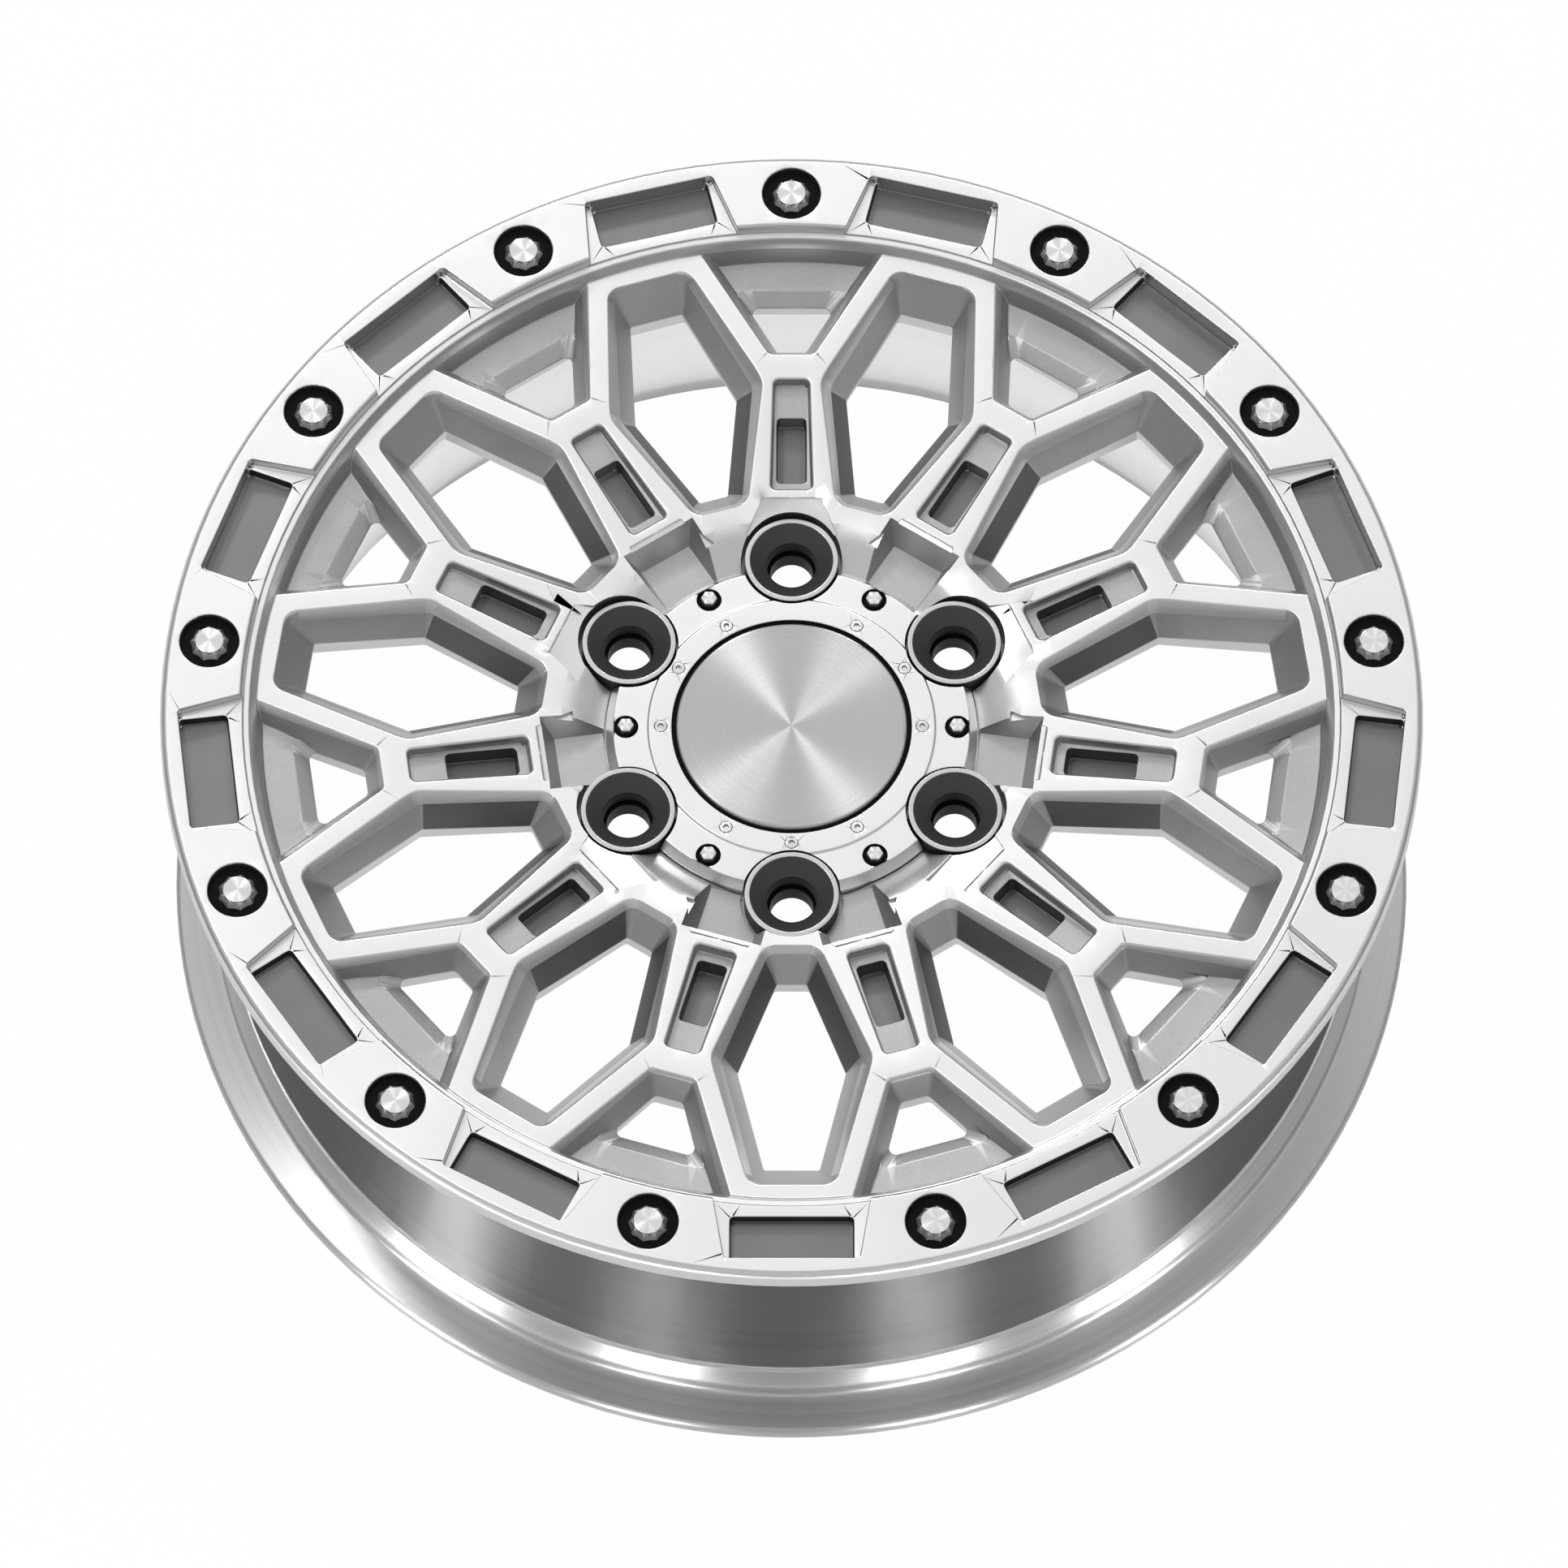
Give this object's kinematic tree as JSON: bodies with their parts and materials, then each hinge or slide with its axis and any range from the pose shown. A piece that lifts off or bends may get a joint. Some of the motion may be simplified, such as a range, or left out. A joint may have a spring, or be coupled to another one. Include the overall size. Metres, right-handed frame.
{
  "type": "wheel",
  "caption": "Forged alloy wheel without a tyre: forked spokes, a bolted outer lip, a six-lug hub with a screwed cover ring and a turned centre cap.",
  "frame": {"origin": "centre of the hub bore on the hub's mounting face", "axes": "+Z along the wheel's axis, out of the face; +Y towards the spoke that points away from the viewer of the picture"},
  "size_m": [0.4667, 0.4668, 0.1463],
  "materials": {
    "forged_alloy": "fine satin, turned on the barrel",
    "cover_alloy": "satin",
    "turned_alloy": "circular brushed",
    "insert_steel": "turned",
    "bright_steel": "spun top",
    "black_rubber": "matte"
  },
  "bodies": {
    "root": {"forged_rim": "forged_alloy", "lip_bolts": "bright_steel", "lip_washers": "black_rubber", "lug_inserts": "insert_steel", "cover_ring": "cover_alloy", "cover_washers": "black_rubber", "cover_screws": "bright_steel", "cap_disc": "turned_alloy", "cap_gasket": "black_rubber", "cap_retainer": "cover_alloy", "cap_screws": "bright_steel"}
  },
  "joints": []
}
